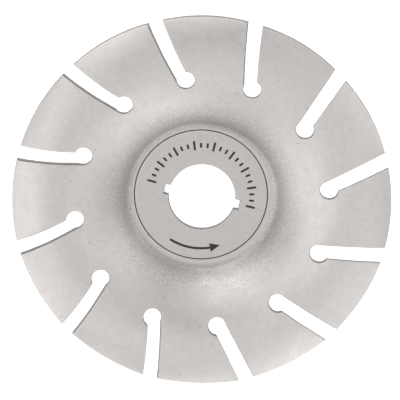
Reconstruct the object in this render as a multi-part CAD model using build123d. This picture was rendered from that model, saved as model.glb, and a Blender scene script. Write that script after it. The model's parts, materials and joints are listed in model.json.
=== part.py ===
from build123d import *
import os
from math import asin, cos, degrees, radians, sin, sqrt, tan

# Carving disc for a 125 mm angle grinder: one pressed and cut sheet of spring steel.
# Millimetres. +Z is the disc's axis, pointing out of the working face.
# The origin is on that axis, in the plane of the hub's working face.

# Sheet and overall size
disc_diameter = 125.0
sheet_thickness = 2.0

# Bore and its two key notches
bore_diameter = 22.23
notch_width = 3.2
notch_span = 25.6
notch_angle = -12.7

# Pressed form, given on the working face, from the hub outwards
hub_flat_diameter = 46.0
hub_bend_radius = 3.5
cone_angle = 45.8
cone_run = 1.8
inner_crown_radius = 33.0
outer_crown_radius = 25.0

# Teeth: each gap is a round relief hole with a slot that runs out through the rim
tooth_count = 12
first_gap_angle = 67.0
relief_circle_diameter = 84.2
relief_hole_diameter = 5.9
slot_width = 4.3
slot_flare = 0.8
slot_lean = 19.2
slot_rake = 9.0

# Laser-darkened marks on the hub's working face, set flush in it
mark_depth = 0.1
mark_centre = (-0.34, 0.66)
ring_mark_diameter = 44.4
ring_mark_width = 0.4
tick_circle_diameter = 34.0
tick_count = 25
tick_first_angle = -14.0
tick_last_angle = 164.0
tick_width = 0.7
tick_length = 1.7
long_tick_length = 3.2
long_tick_every = 3
arrow_circle_diameter = 37.0
arrow_first_angle = 236.0
arrow_last_angle = 290.0
arrow_width = 0.8
arrow_head_width = 3.0
arrow_head_length = 3.4

OVERCUT = 5.0

disc_radius = disc_diameter / 2
hub_radius = hub_flat_diameter / 2
relief_radius = relief_hole_diameter / 2
relief_circle_radius = relief_circle_diameter / 2

# Crest of the working face, the highest ring of the crown, where its inner and outer arcs meet
bends = hub_bend_radius + inner_crown_radius
crest_radius = hub_radius + bends * sin(radians(cone_angle)) + cone_run * cos(radians(cone_angle))
crest_height = bends * (1 - cos(radians(cone_angle))) + cone_run * sin(radians(cone_angle))


def crown_height(radius):
    """Height of the working face on the crown, at a distance from the axis."""
    arc_radius = inner_crown_radius if radius < crest_radius else outer_crown_radius
    return crest_height - arc_radius + sqrt(arc_radius**2 - (radius - crest_radius) ** 2)


def polar(radius, angle):
    """Point in the XY plane at a radius and an angle in degrees."""
    return Vector(radius * cos(radians(angle)), radius * sin(radians(angle)))


def sheet_section():
    """Half section of the pressed sheet in the XZ plane, from the axis out past the rim."""
    half = sheet_thickness / 2
    bend = hub_bend_radius + half
    rim_angle = degrees(asin((disc_radius - crest_radius) / outer_crown_radius))
    with BuildSketch(Plane.XZ) as section:
        with BuildLine():
            flat = Line((0, -half), (hub_radius, -half))
            concave = JernArc(flat @ 1, (1, 0), bend, cone_angle)
            cone = Line(concave @ 1, concave @ 1 + concave % 1 * cone_run)
            inner = JernArc(cone @ 1, cone % 1, inner_crown_radius - half, -cone_angle)
            outer = JernArc(inner @ 1, inner % 1, outer_crown_radius - half, -rim_angle)
            Line(outer @ 1, outer @ 1 + outer % 1 * OVERCUT)
            offset(amount=half, side=Side.BOTH, closed=True)
        make_face()
    return section.sketch


def pressed_sheet():
    """The round pressed sheet, trimmed to the disc's diameter."""
    sheet = revolve(sheet_section(), Axis.Z)
    return sheet & Cylinder(disc_radius, 2 * disc_diameter)


def tooth_gap():
    """Relief hole and slanted slot of the gap that lies along +X."""
    centre = Vector(relief_circle_radius, 0)
    reach = disc_radius - relief_circle_radius + 2 * OVERCUT
    spread = reach * tan(radians(slot_flare))
    near_side = relief_radius - slot_width
    slot_plane = Plane(
        origin=(centre.X, centre.Y, crown_height(relief_circle_radius)),
        x_dir=(cos(radians(slot_lean)), sin(radians(slot_lean)), 0),
        z_dir=(0, 0, 1),
    )
    with BuildSketch(slot_plane) as outline:
        with BuildLine():
            Polyline(
                (0, near_side),
                (reach, near_side - spread),
                (reach, relief_radius + spread),
                (0, relief_radius),
                close=True,
            )
        make_face()
    rise = slot_plane.z_dir + slot_plane.y_dir * tan(radians(slot_rake))
    slot = extrude(outline.sketch, amount=disc_radius, dir=rise, both=True)
    hole = Pos(centre.X, centre.Y) * Cylinder(relief_radius, 2 * disc_diameter)
    return hole + slot


def bore():
    """Arbor bore with its two key notches."""
    notches = Rot(0, 0, notch_angle) * Box(notch_span, notch_width, disc_diameter)
    return Cylinder(bore_diameter / 2, disc_diameter) + notches


def ring_mark():
    """Plain ring line around the hub."""
    outer = ring_mark_diameter / 2 + ring_mark_width / 2
    line = Circle(outer) - Circle(outer - ring_mark_width)
    return Pos(*mark_centre) * extrude(line, amount=-mark_depth)


def tick_marks():
    """Plain index ticks along the upper part of the hub."""
    step = (tick_last_angle - tick_first_angle) / (tick_count - 1)
    ticks = Sketch()
    for index in range(tick_count):
        length = tick_length if index % long_tick_every else long_tick_length
        place = Rot(0, 0, tick_first_angle + index * step) * Pos(tick_circle_diameter / 2, 0)
        ticks += place * Rectangle(length, tick_width)
    return Pos(*mark_centre) * extrude(ticks, amount=-mark_depth)


def turn_arrow():
    """Plain curved arrow for the direction of rotation, along the lower part of the hub."""
    radius = arrow_circle_diameter / 2
    neck_angle = arrow_last_angle - degrees(arrow_head_length / radius)
    with BuildSketch() as outline:
        with BuildLine():
            inner = CenterArc((0, 0), radius - arrow_width / 2, arrow_first_angle,
                              neck_angle - arrow_first_angle)
            outer = CenterArc((0, 0), radius + arrow_width / 2, arrow_first_angle,
                              neck_angle - arrow_first_angle)
            Line(inner @ 0, outer @ 0)
            Polyline(
                inner @ 1,
                polar(radius - arrow_head_width / 2, neck_angle),
                polar(radius, arrow_last_angle),
                polar(radius + arrow_head_width / 2, neck_angle),
                outer @ 1,
            )
        make_face()
    return Pos(*mark_centre) * extrude(outline.sketch, amount=-mark_depth)


marks = {
    "ring_mark": ring_mark(),
    "tick_marks": tick_marks(),
    "turn_arrow": turn_arrow(),
}

disc = pressed_sheet() - bore()
gap = tooth_gap()
for index in range(tooth_count):
    disc -= Rot(0, 0, first_gap_angle + index * 360 / tooth_count) * gap
for mark in marks.values():
    disc -= mark

os.makedirs("parts", exist_ok=True)
for name, shape in {"disc": disc, **marks}.items():
    export_step(shape, f"parts/{name}.step")
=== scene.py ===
import json
from math import asin, atan, cos, pi, radians, sin, tan

import bmesh
import bpy
import numpy as np
from mathutils import Matrix, Vector


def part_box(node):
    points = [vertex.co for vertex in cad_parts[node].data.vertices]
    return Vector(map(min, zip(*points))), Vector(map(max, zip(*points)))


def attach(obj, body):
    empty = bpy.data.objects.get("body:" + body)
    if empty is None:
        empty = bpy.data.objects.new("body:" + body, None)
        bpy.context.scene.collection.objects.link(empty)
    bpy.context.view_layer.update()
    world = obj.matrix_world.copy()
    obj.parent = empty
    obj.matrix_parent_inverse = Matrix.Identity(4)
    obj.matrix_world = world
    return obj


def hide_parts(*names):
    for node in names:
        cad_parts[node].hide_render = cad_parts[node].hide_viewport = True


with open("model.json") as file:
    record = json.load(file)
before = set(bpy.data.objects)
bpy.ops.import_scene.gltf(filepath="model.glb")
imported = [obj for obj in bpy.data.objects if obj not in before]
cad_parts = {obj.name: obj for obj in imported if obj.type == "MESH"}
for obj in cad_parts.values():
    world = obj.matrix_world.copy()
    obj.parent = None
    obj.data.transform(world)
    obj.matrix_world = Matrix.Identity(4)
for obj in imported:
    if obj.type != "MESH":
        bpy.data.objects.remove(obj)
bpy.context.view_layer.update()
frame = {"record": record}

MM = 0.001

# ---------------------------------------------------------------- sizes, in millimetres
low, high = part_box("disc")
bore_mount = next(m for m in frame["record"]["mounts"] if m["name"] == "bore")

SHEET = -low.z / MM
CREST_HEIGHT = high.z / MM
RIM_RADIUS = 62.5
BORE_RADIUS = bore_mount["dims"]["r_mm"]
NOTCH_HALF_WIDTH = 1.6
NOTCH_FLOOR = 12.8
NOTCH_ANGLE = radians(-12.7)

HUB_RADIUS = 23.0
HUB_BEND = 3.5
CONE_ANGLE = radians(45.8)
CONE_RUN = 1.8
INNER_CROWN = 33.0
OUTER_CROWN = 25.0
CREST_RADIUS = HUB_RADIUS + (HUB_BEND + INNER_CROWN) * sin(CONE_ANGLE) + CONE_RUN * cos(CONE_ANGLE)

TEETH = 12
PITCH = 2 * pi / TEETH
FIRST_GAP = radians(67.0)
RELIEF_CIRCLE = 42.1
RELIEF_RADIUS = 2.95
SLOT_WIDTH = 4.3
SLOT_FLARE = radians(0.8)
SLOT_LEAN = radians(19.2)
SLOT_RAKE = radians(9.0)

# The set of the teeth: each leading edge stands a little proud of the trailing edge before it,
# and each tooth is flatter across its tip than the crown it is cut from.
SET_HEIGHT = 0.42
SET_START, SET_FULL = 39.5, 47.5
SET_FADE_START, SET_LEFT_AT_RIM = 54.0, 0.45
TIP_FLAT_START, TIP_FLAT_RISE = 53.0, 0.8

# Every edge is rounded, with a narrow strip of the face left to hold the round's shape.
EDGE_ROUND = 0.28
EDGE_SUPPORT = 0.2

# Mesh density: columns are per tooth, and the same all the way in to the bore.
COLUMNS = 28
COLUMN_STEP = PITCH / COLUMNS
RELIEF_ROWS = 24
BLADE_ROWS = 26
HUB_ROWS, BEND_ROWS, CONE_ROWS = 7, 13, 17
ROUND_STEPS = 3
# Steps of each edge round, next to the wall, that take the walls' dark steel as painted shade.
PAINTED_SHADE_ROUND_STEPS = 2

# Round each notch the columns gather at its corners, over this many times the notch's own columns,
# and are evenly spread again on a ring this far outside its floor.
NOTCH_BLEND = 3
NOTCH_MARGIN = 1.4

SHARP_CORNER = radians(40.0)


# ---------------------------------------------------------------- the form of the sheet
def smooth(value, start, end):
    """0 below start, 1 above end, and a smooth rise between them."""
    t = np.clip((value - start) / (end - start), 0.0, 1.0)
    return t * t * (3 - 2 * t)


def sheet_height(radius, depth):
    """Height of the pressed sheet at a radius, at a depth under its working face."""
    radius = np.asarray(radius, float)
    bend = HUB_BEND + depth
    bend_end = HUB_RADIUS + bend * sin(CONE_ANGLE)
    crown_start = CREST_RADIUS - (INNER_CROWN - depth) * sin(CONE_ANGLE)
    arc = np.where(radius < CREST_RADIUS, INNER_CROWN, OUTER_CROWN)
    on_bend = HUB_BEND - np.sqrt(np.maximum(bend**2 - (radius - HUB_RADIUS) ** 2, 0))
    on_cone = HUB_BEND - bend * cos(CONE_ANGLE) + (radius - bend_end) * tan(CONE_ANGLE)
    on_crown = CREST_HEIGHT - arc + np.sqrt(np.maximum((arc - depth) ** 2 - (radius - CREST_RADIUS) ** 2, 0))
    return np.select(
        [radius <= HUB_RADIUS, radius <= bend_end, radius <= crown_start],
        [np.full_like(radius, -depth), on_bend, on_cone],
        on_crown,
    )


def tooth_set(radius, across):
    """Rise of a tooth over the plain crown; across runs from -1, trailing edge, to 1, leading edge."""
    twist = SET_HEIGHT * smooth(radius, SET_START, SET_FULL)
    twist = twist * (1 - (1 - SET_LEFT_AT_RIM) * smooth(radius, SET_FADE_START, RIM_RADIUS))
    tip = np.clip((radius - TIP_FLAT_START) / (RIM_RADIUS - TIP_FLAT_START), 0, 1)
    return twist * across + TIP_FLAT_RISE * tip**2 * across**2


def face_height(radius, across, depth):
    """Height of a tooth, its set included."""
    return sheet_height(radius, depth) + tooth_set(radius, across)


REFERENCE_HEIGHT = float(sheet_height(RELIEF_CIRCLE, 0.0))


# ---------------------------------------------------------------- the gaps between the teeth
def slot_side_angle(radius, side, inset, height):
    """Angle, from the gap's centre line, at which a circle meets one straight side of the slot.

    side is 1 for the side that is ahead in the turning direction, -1 for the other one.
    Returns nan where the side hasn't started yet.
    """
    lean = np.array([cos(SLOT_LEAN), sin(SLOT_LEAN)])
    over = np.array([-sin(SLOT_LEAN), cos(SLOT_LEAN)])
    offset = RELIEF_RADIUS if side > 0 else RELIEF_RADIUS - SLOT_WIDTH
    offset = offset + side * inset + (height - REFERENCE_HEIGHT) * tan(SLOT_RAKE)
    start_x = RELIEF_CIRCLE + offset * over[0]
    start_y = offset * over[1]
    heading = SLOT_LEAN + side * SLOT_FLARE
    along = start_x * cos(heading) + start_y * sin(heading)
    start_radius = np.hypot(start_x, start_y)
    run = -along + np.sqrt(np.maximum(along**2 - start_radius**2 + radius**2, 0))
    x = start_x + run * cos(heading)
    y = start_y + run * sin(heading)
    return np.where(radius >= start_radius, np.arctan2(y, x), np.nan)


def gap_side_angle(radius, side, inset, height):
    """Angle of one side of the gap: the relief hole's wall or the slot's, whichever is wider."""
    hole = RELIEF_RADIUS + inset
    cosine = (radius**2 + RELIEF_CIRCLE**2 - hole**2) / (2 * radius * RELIEF_CIRCLE)
    on_hole = np.where(cosine <= 1, np.arccos(np.clip(cosine, -1, 1)), np.nan)
    on_slot = side * slot_side_angle(radius, side, inset, height)
    return side * np.fmax(on_hole, on_slot)


def tooth_grid(depth, lift, inset):
    """Points of one tooth as a grid, rows by columns, from its root ring out to the rim.

    depth is 0 on the working face and the sheet's thickness on the back, lift moves the surface
    up or down from there, and inset draws every edge back into the metal.
    """
    turn = np.linspace(0, pi, RELIEF_ROWS)
    roots = RELIEF_CIRCLE - (RELIEF_RADIUS + inset) * np.cos(turn)
    blade = np.linspace(roots[-1], RIM_RADIUS - inset, BLADE_ROWS)[1:]
    radius = np.concatenate([roots, blade])
    trailing = gap_side_angle(radius, 1, inset, face_height(radius, -1.0, depth) + lift)
    leading = gap_side_angle(radius, -1, inset, face_height(radius, 1.0, depth) + lift)
    trailing[0], leading[0] = 0.0, 0.0
    share = np.linspace(0, 1, COLUMNS + 1)
    angle = trailing[:, None] * (1 - share) + (leading[:, None] + PITCH) * share
    across = np.broadcast_to(2 * share - 1, angle.shape)
    rings = np.broadcast_to(radius[:, None], angle.shape)
    return polar_points(rings, angle, face_height(rings, across, depth) + lift)


def polar_points(radius, angle, height):
    """Points from cylindrical coordinates."""
    return np.stack([radius * np.cos(angle), radius * np.sin(angle), height], axis=-1)


def turned(points, angle):
    """Points turned about the disc's axis."""
    c, s = cos(angle), sin(angle)
    return points @ np.array([[c, s, 0], [-s, c, 0], [0, 0, 1]])


# ---------------------------------------------------------------- the bore and its notches
def even_angles():
    """The angle of each column of the hub, where they are evenly spread."""
    return FIRST_GAP + np.arange(TEETH * COLUMNS) * COLUMN_STEP


def wrapped(angle):
    """The same angle between -pi and pi."""
    return (angle + pi) % (2 * pi) - pi


def bore_ring(inset):
    """Angles and radii of the bore's edge, one for each column of the hub, notch corners included."""
    even = even_angles()
    mouth = asin((NOTCH_HALF_WIDTH + inset) / (BORE_RADIUS + inset))
    foot = atan((NOTCH_HALF_WIDTH + inset) / (NOTCH_FLOOR + inset))
    foot_columns = round(foot / COLUMN_STEP)
    blend = NOTCH_BLEND * foot_columns
    angle = even.copy()
    radius = np.full_like(even, BORE_RADIUS + inset)
    for centre in (NOTCH_ANGLE, NOTCH_ANGLE + pi):
        away = wrapped(even - centre)
        middle = int(np.argmin(np.abs(away)))
        for step in range(-blend, blend + 1):
            column = (middle + step) % len(even)
            size = abs(step)
            if size <= foot_columns:
                offset = foot * size / foot_columns
                radius[column] = (NOTCH_FLOOR + inset) / cos(offset)
            else:
                share = (size - foot_columns - 1) / (blend - foot_columns - 1)
                offset = mouth + (blend * COLUMN_STEP - mouth) * share
            nominal = centre + (offset if step >= 0 else -offset)
            drift = away[middle] * max(0.0, (size - foot_columns) / (blend - foot_columns))
            angle[column] = even[column] + wrapped(nominal + drift - even[column])
    return angle, radius


def hub_grid(depth, inset):
    """Points of the hub and cone, from the bore out to the ring through the gaps' roots."""
    even = even_angles()
    angle, radius = bore_ring(inset)
    first_full = NOTCH_FLOOR + NOTCH_MARGIN
    root = RELIEF_CIRCLE - RELIEF_RADIUS - inset
    bend_end = HUB_RADIUS + (HUB_BEND + depth) * sin(CONE_ANGLE)
    full = np.concatenate([
        np.linspace(first_full, HUB_RADIUS, HUB_ROWS),
        np.linspace(HUB_RADIUS, bend_end, BEND_ROWS)[1:],
        np.linspace(bend_end, root, CONE_ROWS)[1:],
    ])
    rows = []
    for share in (0.0, 0.5):
        ring = radius * (1 - share) + first_full * share
        rows.append(polar_points(ring, angle * (1 - share) + even * share, sheet_height(ring, depth)))
    for ring in full:
        rings = np.full_like(even, ring)
        rows.append(polar_points(rings, even, sheet_height(rings, depth)))
    return np.array(rows)


# ---------------------------------------------------------------- meshes
def new_piece(name, points, faces, materials, nodes):
    """A mesh object from points in millimetres, riding on the disc's body."""
    mesh = bpy.data.meshes.new(name)
    mesh.from_pydata((np.asarray(points) * MM).tolist(), [], faces)
    for material in materials:
        mesh.materials.append(material)
    piece = bpy.data.objects.new(name, mesh)
    bpy.context.scene.collection.objects.link(piece)
    mesh.polygons.foreach_set("use_smooth", [True] * len(mesh.polygons))
    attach(piece, "root")
    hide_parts(*nodes)
    return piece


class Shell:
    """Collects the points and faces of one closed mesh."""

    def __init__(self):
        self.points, self.faces, self.finish = [], [], []
        self.count = 0

    def add(self, points):
        points = np.asarray(points).reshape(-1, 3)
        first = self.count
        self.points.append(points)
        self.count += len(points)
        return np.arange(first, self.count)

    def face(self, corners, finish):
        self.faces.append([int(c) for c in corners])
        self.finish.append(finish)

    def strip(self, one, other, finish, closed):
        """Quads between two rows of as many points."""
        steps = len(one) if closed else len(one) - 1
        for i in range(steps):
            j = (i + 1) % len(one)
            self.face((one[i], one[j], other[j], other[i]), finish)


# Index of each finish among the disc's materials
BLASTED, CUT = 0, 1


def add_face(shell, depth, inset):
    """The working face or the back as a grid. Returns its inner and outer edge loops."""
    rows = [shell.add(row) for row in hub_grid(depth, inset)]
    for one, other in zip(rows, rows[1:]):
        shell.strip(one, other, BLASTED, closed=True)
    grid = tooth_grid(depth, 0.0, inset)
    outer = []
    for tooth in range(TEETH):
        points = turned(grid, FIRST_GAP + tooth * PITCH)
        first = [rows[-1][(tooth * COLUMNS + c) % (TEETH * COLUMNS)] for c in range(COLUMNS + 1)]
        ids = [np.array(first)] + [shell.add(row) for row in points[1:]]
        for one, other in zip(ids, ids[1:]):
            shell.strip(one, other, BLASTED, closed=False)
        outer += outline(ids)
    return rows[0], outer


def outline(rows):
    """The edge of one tooth: out along its trailing side, round the rim, in along its leading side."""
    trailing = [row[0] for row in rows[:-1]]
    rim = list(rows[-1])
    leading = [row[-1] for row in rows[-2:0:-1]]
    return trailing + rim + leading


def edge_loops(shell, depth, lift, inset):
    """Points of both edge loops, at one step round the edge."""
    angle, radius = bore_ring(inset)
    inner = shell.add(polar_points(radius, angle, sheet_height(radius, depth) + lift))
    grid = tooth_grid(depth, lift, inset)
    outer = []
    for tooth in range(TEETH):
        outer += outline(turned(grid, FIRST_GAP + tooth * PITCH))
    return inner, shell.add(outer)


def build_disc(materials):
    """The disc as one closed mesh: both faces, and between them the walls with a round at each edge."""
    shell = Shell()
    start = EDGE_ROUND + EDGE_SUPPORT
    front = add_face(shell, 0.0, start)
    back = add_face(shell, SHEET, start)
    turns = np.linspace(0, pi / 2, ROUND_STEPS + 1)
    steps = [(0.0, EDGE_ROUND * (cos(a) - 1), EDGE_ROUND * (1 - sin(a))) for a in turns]
    steps += [(SHEET, EDGE_ROUND * (1 - cos(a)), EDGE_ROUND * (1 - sin(a))) for a in turns[::-1]]
    loops = [front] + [edge_loops(shell, *step) for step in steps] + [back]
    wall = len(turns)
    for index, (one, other) in enumerate(zip(loops, loops[1:])):
        # The wall and the rounds beside it take the dark wall steel: painted shade on the rounds.
        finish = CUT if abs(index - wall) <= PAINTED_SHADE_ROUND_STEPS else BLASTED
        for edge in (0, 1):
            shell.strip(one[edge], other[edge], finish, closed=True)
    disc = new_piece(
        "disc_steel", np.concatenate(shell.points), shell.faces, materials, ["disc"]
    )
    disc.data.polygons.foreach_set("material_index", shell.finish)
    tidy_mesh(disc)


def tidy_mesh(piece):
    """Normals outward, and sharp corners kept sharp."""
    mesh = bmesh.new()
    mesh.from_mesh(piece.data)
    bmesh.ops.recalc_face_normals(mesh, faces=mesh.faces)
    mesh.to_mesh(piece.data)
    mesh.free()
    piece.data.set_sharp_from_angle(angle=SHARP_CORNER)


# ---------------------------------------------------------------- the laser marks on the hub
# Each mark stands a hair proud of the hub, and its foot is sunk into the steel.
MARK_TOP = 0.02
MARK_FOOT = -0.06
MARK_SIDE = 0.02
MARK_CENTRE = (-0.34, 0.66)
RING_RADIUS, RING_WIDTH = 22.2, 0.34
TICK_RADIUS, TICK_COUNT = 17.0, 25
TICK_FIRST, TICK_LAST = radians(-14.0), radians(164.0)
TICK_WIDTH, TICK_LENGTH, LONG_TICK_LENGTH, LONG_TICK_EVERY = 0.7, 1.7, 3.2, 3
ARROW_RADIUS, ARROW_WIDTH = 18.5, 0.8
ARROW_FIRST, ARROW_LAST = radians(236.0), radians(290.0)
ARROW_HEAD_WIDTH, ARROW_HEAD_LENGTH = 3.0, 3.4
RING_STEPS, ARROW_STEPS, TICK_END_STEPS = 360, 40, 8


def plate(shell, edge):
    """A thin plate with a sloped side, from its outline in the XY plane."""
    edge = np.asarray(edge, float)
    ahead, behind = np.roll(edge, -1, axis=0), np.roll(edge, 1, axis=0)
    along = ahead - behind
    along /= np.linalg.norm(along, axis=1)[:, None]
    outward = np.stack([along[:, 1], -along[:, 0]], axis=1)
    wide = edge + outward * MARK_SIDE
    top = shell.add(np.column_stack([edge, np.full(len(edge), MARK_TOP)]))
    side = shell.add(np.column_stack([wide, np.full(len(edge), 0.0)]))
    foot = shell.add(np.column_stack([wide, np.full(len(edge), MARK_FOOT)]))
    shell.strip(top, side, 0, closed=True)
    shell.strip(side, foot, 0, closed=True)
    shell.face(top, 0)
    shell.face(foot[::-1], 0)


def rounded_bar(length, width, angle, radius):
    """Outline of a tick with round ends, lying along a radius of the hub."""
    half, round_end = length / 2, width / 2
    ends = [(half - round_end, -pi / 2), (-half + round_end, pi / 2)]
    points = []
    for centre, start in ends:
        for step in range(TICK_END_STEPS + 1):
            a = start + pi * step / TICK_END_STEPS
            points.append((radius + centre + round_end * cos(a), round_end * sin(a)))
    c, s = cos(angle), sin(angle)
    return [(x * c - y * s, x * s + y * c) for x, y in points]


def on_circle(radius, angle):
    return (radius * cos(angle), radius * sin(angle))


def mark_piece(name, shell, material, node):
    """One mark's mesh, moved to the marks' own centre on the hub."""
    points = np.concatenate(shell.points) + np.array([*MARK_CENTRE, 0.0])
    piece = new_piece(name, points, shell.faces, [material], [node])
    tidy_mesh(piece)


def build_ring_line(material):
    """The thin line round the hub."""
    shell = Shell()
    half = RING_WIDTH / 2
    angles = np.linspace(0, 2 * pi, RING_STEPS + 1)[:-1]
    section = [(half, MARK_TOP), (half + MARK_SIDE, 0.0), (half + MARK_SIDE, MARK_FOOT),
               (-half - MARK_SIDE, MARK_FOOT), (-half - MARK_SIDE, 0.0), (-half, MARK_TOP)]
    rings = []
    for out, height in section:
        rings.append(shell.add(polar_points(RING_RADIUS + out, angles, np.full_like(angles, height))))
    for one, other in zip(rings, rings[1:] + rings[:1]):
        shell.strip(one, other, 0, closed=True)
    mark_piece("ring_line", shell, material, "ring_mark")


def build_ticks(material):
    """A scale of short ticks with longer ones among them."""
    shell = Shell()
    step = (TICK_LAST - TICK_FIRST) / (TICK_COUNT - 1)
    for index in range(TICK_COUNT):
        length = TICK_LENGTH if index % LONG_TICK_EVERY else LONG_TICK_LENGTH
        plate(shell, rounded_bar(length, TICK_WIDTH, TICK_FIRST + index * step, TICK_RADIUS))
    mark_piece("index_ticks", shell, material, "tick_marks")


def build_arrow(material):
    """A curved arrow that shows the turning direction."""
    shell = Shell()
    neck = ARROW_LAST - ARROW_HEAD_LENGTH / ARROW_RADIUS
    shaft = np.linspace(ARROW_FIRST, neck, ARROW_STEPS)
    edge = [on_circle(ARROW_RADIUS + ARROW_WIDTH / 2, angle) for angle in shaft]
    edge.append(on_circle(ARROW_RADIUS + ARROW_HEAD_WIDTH / 2, neck))
    edge.append(on_circle(ARROW_RADIUS, ARROW_LAST))
    edge.append(on_circle(ARROW_RADIUS - ARROW_HEAD_WIDTH / 2, neck))
    edge += [on_circle(ARROW_RADIUS - ARROW_WIDTH / 2, angle) for angle in shaft[::-1]]
    plate(shell, edge)
    mark_piece("direction_arrow", shell, material, "turn_arrow")


# ---------------------------------------------------------------- materials
# Size of each noise, in grains per metre
PATCHES, MOTTLE, GRAIN, SPECKS = 55.0, 420.0, 1700.0, 900.0
SHEEN, SWELL, PITS = 300.0, 160.0, 3200.0
CUT_LINES, CUT_SHEEN = 2400.0, 500.0
OXIDE, PAPER = 1500.0, 12.0

# Depth of each relief, in metres
PIT_DEPTH, SWELL_DEPTH = 0.00002, 0.0001
CUT_LINE_DEPTH, OXIDE_DEPTH = 0.00003, 0.00002


def new_material(name):
    """A material with its node tree and its shader."""
    material = bpy.data.materials.new(name)
    material.use_nodes = True
    tree = material.node_tree
    return material, tree, tree.nodes["Principled BSDF"]


def noise(tree, scale, detail, roughness):
    """Noise in the object's own coordinates, from 0 to 1."""
    place = tree.nodes.new("ShaderNodeTexCoord")
    texture = tree.nodes.new("ShaderNodeTexNoise")
    texture.inputs["Scale"].default_value = scale
    texture.inputs["Detail"].default_value = detail
    texture.inputs["Roughness"].default_value = roughness
    tree.links.new(place.outputs["Object"], texture.inputs["Vector"])
    return texture.outputs["Fac"]


def radius_from_axis(tree):
    """Distance from the disc's axis, as a share of the rim's radius."""
    place = tree.nodes.new("ShaderNodeTexCoord")
    flat = tree.nodes.new("ShaderNodeVectorMath")
    flat.operation = "MULTIPLY"
    flat.inputs[1].default_value = (1.0, 1.0, 0.0)
    length = tree.nodes.new("ShaderNodeVectorMath")
    length.operation = "LENGTH"
    share = tree.nodes.new("ShaderNodeMath")
    share.operation = "DIVIDE"
    share.inputs[1].default_value = RIM_RADIUS * MM
    tree.links.new(place.outputs["Object"], flat.inputs[0])
    tree.links.new(flat.outputs["Vector"], length.inputs[0])
    tree.links.new(length.outputs["Value"], share.inputs[0])
    return share.outputs["Value"]


def ramp(tree, value, stops):
    """Colour or grey ramp: stops are (position, colour)."""
    node = tree.nodes.new("ShaderNodeValToRGB")
    elements = node.color_ramp.elements
    while len(elements) < len(stops):
        elements.new(0.5)
    for element, (position, colour) in zip(elements, stops):
        element.position = position
        element.color = (*colour, 1.0)
    tree.links.new(value, node.inputs["Fac"])
    return node.outputs["Color"]


def darkened(tree, colour, tone, amount=None):
    """A colour multiplied by a tone, all over or by an amount that varies from place to place."""
    node = tree.nodes.new("ShaderNodeMix")
    node.data_type = "RGBA"
    node.blend_type = "MULTIPLY"
    if amount is None:
        node.inputs["Factor"].default_value = 1.0
    else:
        tree.links.new(amount, node.inputs["Factor"])
    tree.links.new(colour, node.inputs["A"])
    tree.links.new(tone, node.inputs["B"])
    return node.outputs["Result"]


def bump(tree, height, distance, strength, under=None):
    """Fine relief in the shading, on top of another one if there is one under it."""
    node = tree.nodes.new("ShaderNodeBump")
    node.inputs["Distance"].default_value = distance
    node.inputs["Strength"].default_value = strength
    tree.links.new(height, node.inputs["Height"])
    if under is not None:
        tree.links.new(under, node.inputs["Normal"])
    return node.outputs["Normal"]


def grey(value):
    return (value, value, value)


def by_radius(tree, stops):
    """A grey that follows the distance from the axis: stops are (radius in millimetres, grey)."""
    return ramp(tree, radius_from_axis(tree), [(radius / RIM_RADIUS, grey(tone)) for radius, tone in stops])


# How much the blast's grain shows, by radius: most in the bend and above it, where its darkening is painted
# shade as well as grain.
GRAIN_AND_SHADE_BY_RADIUS = [(22.8, 0.22), (24.2, 1.0), (30.0, 0.85), (36.0, 0.35), (50.0, 0.28)]

# Painted light and shade by radius, tuned to the photograph: a painted bright band where the hub meets
# the bend, and painted shade in the bend, darker than its slope and the lights explain.
PAINTED_LIGHT_AND_SHADE_BY_RADIUS = [
    (21.5, 0.89), (22.5, 0.95), (23.3, 0.91), (24.1, 0.79),
    (25.3, 0.79), (27.0, 0.88), (29.5, 0.98), (36.0, 0.96),
]


def blasted_steel():
    """Satin, bead-blasted spring steel: fine pitting, faint warm and cool patches, a few specks, painted
    shade and highlight at the hub's bend.
    """
    material, tree, shader = new_material("blasted_steel")
    colour = ramp(tree, noise(tree, PATCHES, 3.0, 0.55), [
        (0.35, (0.731, 0.694, 0.672)), (0.52, (0.726, 0.696, 0.678)), (0.68, (0.718, 0.696, 0.684)),
    ])
    mottle = ramp(tree, noise(tree, MOTTLE, 3.0, 0.6), [(0.35, grey(0.955)), (0.65, grey(1.0))])
    grain = ramp(tree, noise(tree, GRAIN, 4.0, 0.75), [(0.36, grey(0.70)), (0.62, grey(1.0))])
    specks = ramp(tree, noise(tree, SPECKS, 1.0, 0.4), [(0.185, grey(0.45)), (0.215, grey(1.0))])
    colour = darkened(tree, colour, mottle)
    # Grain that darkens most in the bend: partly real grain, partly painted shade there.
    colour = darkened(tree, colour, grain, by_radius(tree, GRAIN_AND_SHADE_BY_RADIUS))
    colour = darkened(tree, colour, specks)
    # Painted shade in the bend round the hub, with a painted bright band just inside it.
    colour = darkened(tree, colour, by_radius(tree, PAINTED_LIGHT_AND_SHADE_BY_RADIUS))
    tree.links.new(colour, shader.inputs["Base Color"])
    shader.inputs["Metallic"].default_value = 1.0
    rough = ramp(tree, noise(tree, SHEEN, 4.0, 0.6), [(0.3, grey(0.45)), (0.7, grey(0.55))])
    tree.links.new(rough, shader.inputs["Roughness"])
    pits = bump(tree, noise(tree, PITS, 2.0, 0.6), PIT_DEPTH, 0.55)
    swell = bump(tree, noise(tree, SWELL, 2.0, 0.5), SWELL_DEPTH, 0.10, under=pits)
    tree.links.new(swell, shader.inputs["Normal"])
    return material


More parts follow.
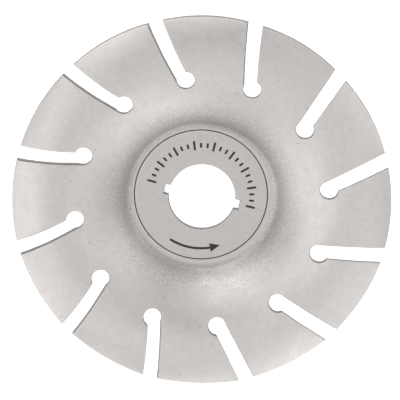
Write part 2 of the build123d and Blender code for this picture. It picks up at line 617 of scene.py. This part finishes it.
def cut_steel():
    """Laser-cut walls of the slots, bore and rim: darker, partly the cut's own oxide and partly painted
    shade, with fine lines through the sheet.
    """
    material, tree, shader = new_material("cut_steel")
    lines = noise(tree, CUT_LINES, 1.0, 0.4)
    # Dark wall steel: the cut's oxide, darkened further as painted shade against the glowing floor's light.
    colour = ramp(tree, lines, [(0.35, (0.19, 0.18, 0.172)), (0.65, (0.28, 0.268, 0.258))])
    tree.links.new(colour, shader.inputs["Base Color"])
    shader.inputs["Metallic"].default_value = 1.0
    rough = ramp(tree, noise(tree, CUT_SHEEN, 2.0, 0.5), [(0.3, grey(0.45)), (0.7, grey(0.6))])
    tree.links.new(rough, shader.inputs["Roughness"])
    tree.links.new(bump(tree, lines, CUT_LINE_DEPTH, 0.5), shader.inputs["Normal"])
    return material


def laser_dark():
    """Steel darkened by a laser: matt brown-black oxide, a little uneven."""
    material, tree, shader = new_material("laser_dark")
    uneven = noise(tree, OXIDE, 3.0, 0.6)
    colour = ramp(tree, uneven, [(0.3, (0.036, 0.022, 0.015)), (0.7, (0.075, 0.050, 0.037))])
    tree.links.new(colour, shader.inputs["Base Color"])
    rough = ramp(tree, uneven, [(0.3, grey(0.6)), (0.7, grey(0.8))])
    tree.links.new(rough, shader.inputs["Roughness"])
    shader.inputs["Metallic"].default_value = 0.3
    tree.links.new(bump(tree, uneven, OXIDE_DEPTH, 0.4), shader.inputs["Normal"])
    return material


def floor_paper():
    """Plain white paper that glows a little, as on a light table."""
    material, tree, shader = new_material("floor_paper")
    tone = ramp(tree, noise(tree, PAPER, 2.0, 0.5), [(0.3, grey(0.90)), (0.7, grey(0.92))])
    tree.links.new(tone, shader.inputs["Base Color"])
    shader.inputs["Roughness"].default_value = 0.9
    shader.inputs["Specular IOR Level"].default_value = 0.1
    shader.inputs["Emission Color"].default_value = (1.0, 1.0, 1.0, 1.0)
    shader.inputs["Emission Strength"].default_value = FLOOR_GLOW
    return material


# ---------------------------------------------------------------- camera, light and floor
# The camera's place, found by fitting it to the disc's outline: distances in millimetres from the
# disc's centre, angles in radians. The lens is for a sensor of the given width.
CAMERA_DISTANCE = 717.6
CAMERA_TILT = 0.253
CAMERA_SWING = -0.011
CAMERA_SHIFT = (0.65, 1.06)
LENS, SENSOR = 193.5, 36.0
CAMERA_REACH = 10.0

# Soft boxes on a dome round the disc: azimuth, elevation, width in metres, power in watts
LIGHT_DISTANCE = 1.1
LIGHTS = {
    "back": (112.0, 35.0, 0.95, 4.2),
    "left": (212.0, 35.0, 0.85, 2.35),
    "front": (298.0, 35.0, 0.85, 2.15),
    "right": (25.0, 35.0, 0.75, 1.55),
    "high_left": (180.0, 62.0, 0.75, 2.2),
    "high_right": (0.0, 62.0, 0.75, 1.7),
    "high_front": (270.0, 62.0, 0.75, 1.1),
    "low_front": (275.0, 6.0, 0.75, 0.9),
}
TENT_STRENGTH = 1.0
TENT_WALL = [(0.0, grey(1.0)), (0.3, grey(0.85)), (0.65, grey(0.08))]

# The floor lies just under the hub, so that the two don't share a plane.
FLOOR_HALF_WIDTH = 3.0
FLOOR_GLOW = 0.6
FLOOR_DROP = 0.02


def build_camera():
    """Looks down on the working face, tilted a little, from about 0.7 m."""
    data = bpy.data.cameras.new("camera")
    data.sensor_width = SENSOR
    data.lens = LENS
    data.clip_end = CAMERA_REACH
    camera = bpy.data.objects.new("camera", data)
    bpy.context.scene.collection.objects.link(camera)
    turn = Matrix.Rotation(CAMERA_TILT, 3, "X") @ Matrix.Rotation(CAMERA_SWING, 3, "Y")
    back = turn.transposed()
    place = back @ Vector((-CAMERA_SHIFT[0], -CAMERA_SHIFT[1], CAMERA_DISTANCE)) * MM
    camera.matrix_world = Matrix.Translation(place) @ back.to_4x4()
    bpy.context.scene.camera = camera


def area_light(name, azimuth, elevation, size, power):
    """A square soft box that faces the disc."""
    data = bpy.data.lights.new(name, "AREA")
    data.shape = "SQUARE"
    data.size = size
    data.energy = power
    light = bpy.data.objects.new(name, data)
    bpy.context.scene.collection.objects.link(light)
    turn, rise = radians(azimuth), radians(elevation)
    out = Vector((cos(rise) * cos(turn), cos(rise) * sin(turn), sin(rise)))
    light.location = out * LIGHT_DISTANCE
    light.rotation_euler = out.to_track_quat("Z", "Y").to_euler()


def build_light():
    """The soft boxes, the tent round them, and plain tones."""
    for name, setting in LIGHTS.items():
        area_light(name, *setting)
    bpy.context.scene.world = white_tent()
    bpy.context.scene.view_settings.view_transform = "Standard"


def white_tent():
    """A white tent round the table, bright near the horizon and dim overhead, where the camera looks in."""
    world = bpy.data.worlds.new("studio")
    world.use_nodes = True
    tree = world.node_tree
    direction = tree.nodes.new("ShaderNodeTexCoord")
    split = tree.nodes.new("ShaderNodeSeparateXYZ")
    tree.links.new(direction.outputs["Generated"], split.inputs["Vector"])
    wall = ramp(tree, split.outputs["Z"], TENT_WALL)
    background = tree.nodes["Background"]
    tree.links.new(wall, background.inputs["Color"])
    background.inputs["Strength"].default_value = TENT_STRENGTH
    return world


def build_floor():
    """A wide pale floor under the hub."""
    size, level = FLOOR_HALF_WIDTH, low.z - FLOOR_DROP * MM
    mesh = bpy.data.meshes.new("floor")
    corners = [(-size, -size, level), (size, -size, level), (size, size, level), (-size, size, level)]
    mesh.from_pydata(corners, [], [(0, 1, 2, 3)])
    mesh.materials.append(floor_paper())
    floor = bpy.data.objects.new("floor", mesh)
    bpy.context.scene.collection.objects.link(floor)


build_disc([blasted_steel(), cut_steel()])
dark = laser_dark()
build_ring_line(dark)
build_ticks(dark)
build_arrow(dark)
build_floor()
build_light()
build_camera()
